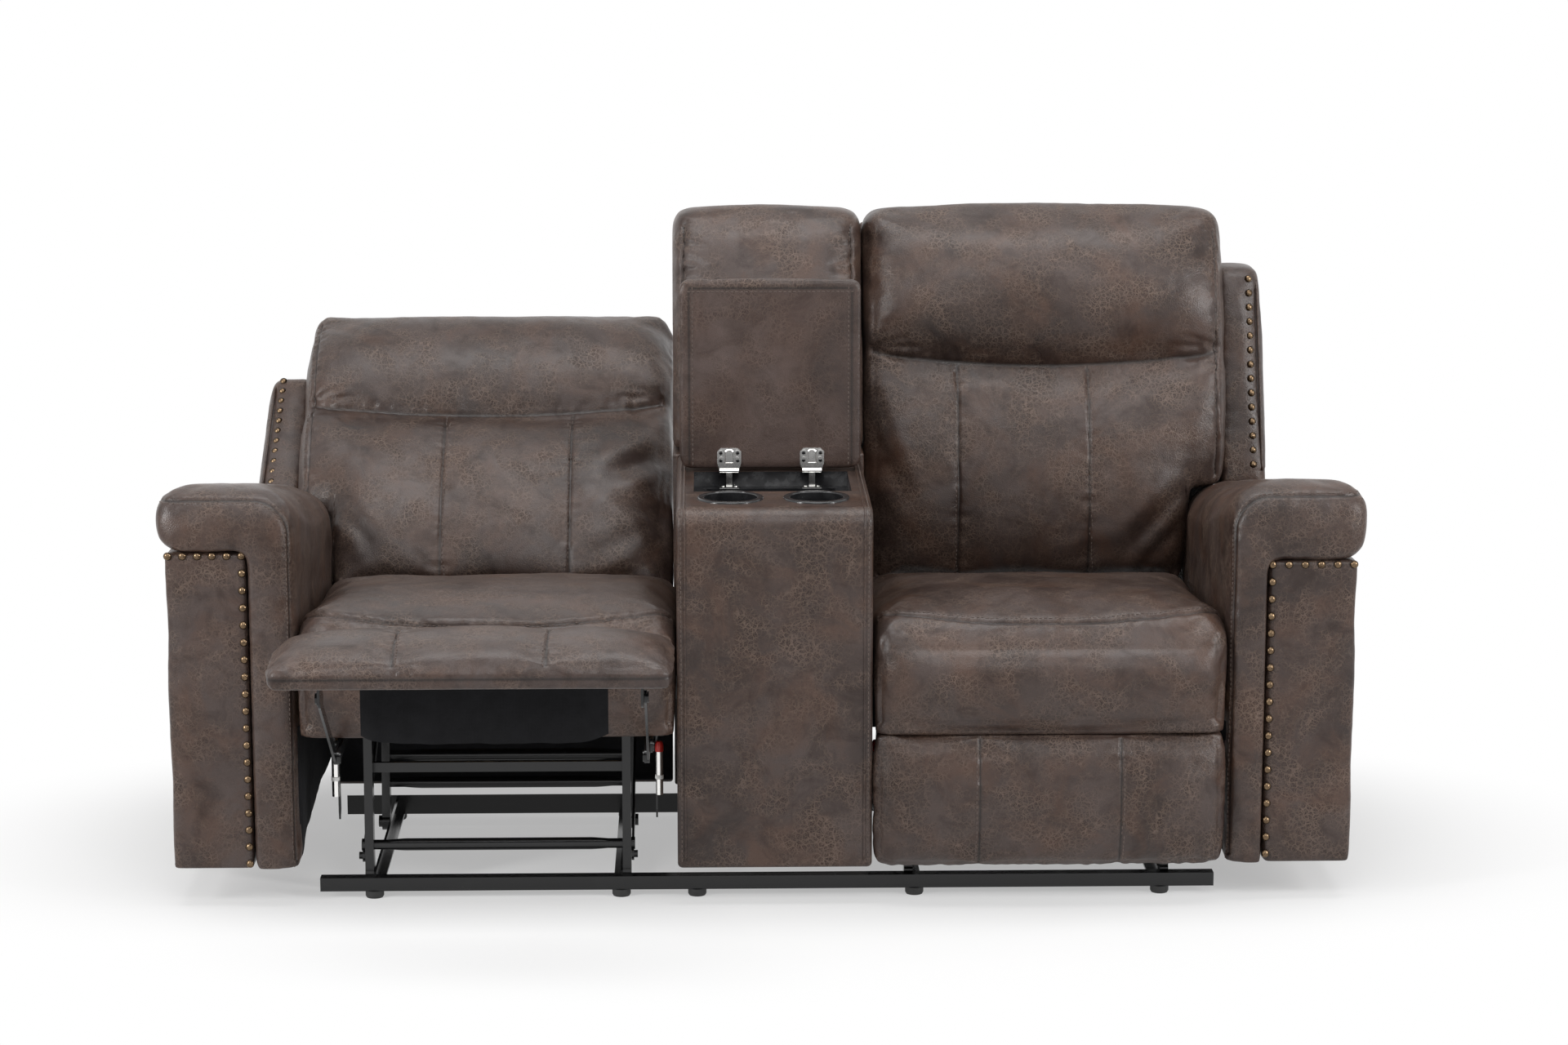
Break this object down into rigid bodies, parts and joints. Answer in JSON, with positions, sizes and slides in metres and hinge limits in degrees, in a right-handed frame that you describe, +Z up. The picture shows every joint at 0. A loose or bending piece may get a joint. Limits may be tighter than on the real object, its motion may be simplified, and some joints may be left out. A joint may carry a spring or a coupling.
{
  "type": "reclining console loveseat",
  "caption": "Leather loveseat with a cup and storage console between seats whose backs recline and footrests swing out on links.",
  "frame": {"origin": "on the floor under the middle of the footprint, with the left seat open and the right one closed", "axes": "+X to the right of a viewer in front, across the seats; +Y to the rear; +Z up"},
  "size_m": [1.924, 1.5625, 1.0557],
  "materials": {
    "leather": "distressed, mottled",
    "steel": "satin black paint",
    "nickel": "bright plated",
    "nails": "antique",
    "tray": "satin moulded",
    "rubber": "matte",
    "timber": "sawn",
    "cloth": "woven dust cloth"
  },
  "bodies": {
    "base": {"front_rail": "steel", "rear_rail": "steel", "side_rails": "steel", "glides": "rubber", "arm_brackets": "steel", "console_brackets": "steel", "console_body": "leather", "console_rear": "leather", "console_tray": "tray", "cup_holders": "tray", "console_back": "leather", "lid_hinge_bases": "nickel", "left_arm_panel": "leather", "left_arm_roll": "leather", "left_arm_nails": "nails", "left_seat_frame": "timber", "left_seat_cushion": "leather", "left_seat_springs": "steel", "left_seat_plates": "steel", "left_spring_tubes": "nickel", "left_stands": "steel", "left_cross_tubes": "steel", "right_arm_panel": "leather", "right_arm_roll": "leather", "right_arm_nails": "nails", "right_seat_frame": "timber", "right_seat_cushion": "leather", "right_seat_springs": "steel", "right_seat_plates": "steel", "right_spring_tubes": "nickel", "right_stands": "steel", "right_cross_tubes": "steel"},
    "lid": {"lid": "leather", "lid_hinge_leaves": "nickel"},
    "left_back": {"left_back_brackets": "steel", "left_back_frame": "timber", "left_back_cushion": "leather", "left_wing": "leather", "left_wing_nails": "nails", "left_rear_panel": "leather"},
    "left_drive": {"left_drive_links": "steel"},
    "left_steady": {"left_steady_links": "steel"},
    "left_reach": {"left_reach_links": "steel"},
    "left_footrest": {"left_footrest_brackets": "steel", "left_footrest_board": "timber", "left_footrest_flap": "cloth", "left_footrest_pad": "leather"},
    "right_back": {"right_back_brackets": "steel", "right_back_frame": "timber", "right_back_cushion": "leather", "right_wing": "leather", "right_wing_nails": "nails", "right_rear_panel": "leather"},
    "right_drive": {"right_drive_links": "steel"},
    "right_steady": {"right_steady_links": "steel"},
    "right_reach": {"right_reach_links": "steel"},
    "right_footrest": {"right_footrest_brackets": "steel", "right_footrest_board": "timber", "right_footrest_flap": "cloth", "right_footrest_pad": "leather"}
  },
  "joints": [
    {"name": "lid_hinge", "type": "hinge", "parent": "base", "child": "lid", "pos_m": [0.018, -0.021, 0.651], "axis": [1, 0, 0], "range_deg": [0, 90]},
    {"name": "left_recline", "type": "hinge", "parent": "base", "child": "left_back", "pos_m": [-0.43, 0.17, 0.382], "axis": [1, 0, 0], "range_deg": [0, 38]},
    {"name": "left_drive_pivot", "type": "hinge", "parent": "base", "child": "left_drive", "pos_m": [-0.43, -0.171, 0.266], "axis": [1, 0, 0], "range_deg": [0, 120]},
    {"name": "left_steady_pivot", "type": "hinge", "parent": "base", "child": "left_steady", "pos_m": [-0.43, -0.121, 0.27], "axis": [1, 0, 0], "range_deg": [0, 120]},
    {"name": "left_knee", "type": "hinge", "parent": "left_drive", "child": "left_reach", "pos_m": [-0.43, -0.40297, 0.26195], "axis": [1, 0, 0], "range_deg": [-120, 0]},
    {"name": "left_toe", "type": "hinge", "parent": "left_reach", "child": "left_footrest", "pos_m": [-0.43, -0.6268, 0.41293], "axis": [1, 0, 0], "range_deg": [0, 90]},
    {"name": "right_recline", "type": "hinge", "parent": "base", "child": "right_back", "pos_m": [0.446, 0.17, 0.382], "axis": [-1, 0, 0], "range_deg": [0, 38]},
    {"name": "right_drive_pivot", "type": "hinge", "parent": "base", "child": "right_drive", "pos_m": [0.446, -0.171, 0.266], "axis": [-1, 0, 0], "range_deg": [0, 120]},
    {"name": "right_steady_pivot", "type": "hinge", "parent": "base", "child": "right_steady", "pos_m": [0.446, -0.121, 0.27], "axis": [-1, 0, 0], "range_deg": [0, 120]},
    {"name": "right_knee", "type": "hinge", "parent": "right_drive", "child": "right_reach", "pos_m": [0.446, -0.05151, 0.06714], "axis": [-1, 0, 0], "range_deg": [-120, 0]},
    {"name": "right_toe", "type": "hinge", "parent": "right_reach", "child": "right_footrest", "pos_m": [0.446, -0.27535, 0.21812], "axis": [-1, 0, 0], "range_deg": [0, 90]}
  ],
  "couplings": [
    {"joint": "left_steady_pivot", "follows": "left_drive_pivot", "ratio": 1},
    {"joint": "left_knee", "follows": "left_drive_pivot", "ratio": -1},
    {"joint": "left_toe", "follows": "left_drive_pivot", "ratio": 0.75},
    {"joint": "right_steady_pivot", "follows": "right_drive_pivot", "ratio": 1},
    {"joint": "right_knee", "follows": "right_drive_pivot", "ratio": -1},
    {"joint": "right_toe", "follows": "right_drive_pivot", "ratio": 0.75}
  ]
}
